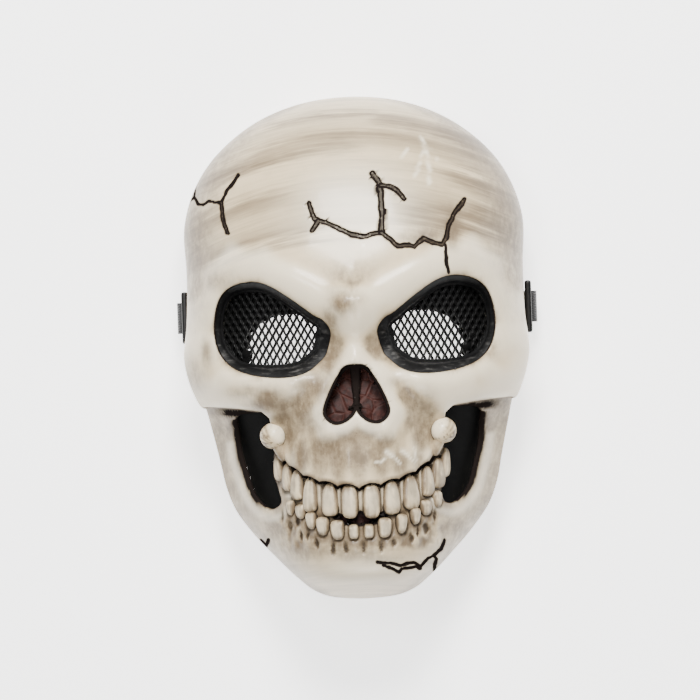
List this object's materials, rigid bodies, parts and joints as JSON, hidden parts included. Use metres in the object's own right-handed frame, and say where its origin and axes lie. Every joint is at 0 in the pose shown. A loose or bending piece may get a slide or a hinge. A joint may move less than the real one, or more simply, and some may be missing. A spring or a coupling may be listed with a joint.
{
  "type": "skull mask",
  "caption": "Full-face skull mask of moulded ivory plastic with mesh eyes, bared teeth, dark cheek gaps and a webbing head strap.",
  "frame": {"origin": "bottom centre of the bounding box: the middle of the rear rim's plane", "axes": "+X to the viewer's right, +Y towards the crown, +Z out of the face; the mask lies face up"},
  "size_m": [0.1866, 0.259, 0.1138],
  "materials": {
    "bone_plastic": "ivory with a grey-brown wash, glossy",
    "black_plastic": "black, satin",
    "black_mesh": "black paint on expanded metal",
    "dark_red_liner": "creased, dark red-brown",
    "black_foam": "matt open-cell foam",
    "black_webbing": "woven elastic"
  },
  "bodies": {
    "root": {"skull_shell": "bone_plastic", "jaw_shell": "bone_plastic", "eye_frame_left": "black_plastic", "eye_frame_right": "black_plastic", "eye_mesh_left": "black_mesh", "eye_mesh_right": "black_mesh", "cheek_panel_left": "black_plastic", "cheek_panel_right": "black_plastic", "nose_mouth_liner": "dark_red_liner", "brow_pad": "black_foam", "strap_slider_left": "black_plastic", "strap_slider_right": "black_plastic", "head_strap": "black_webbing"}
  },
  "joints": []
}
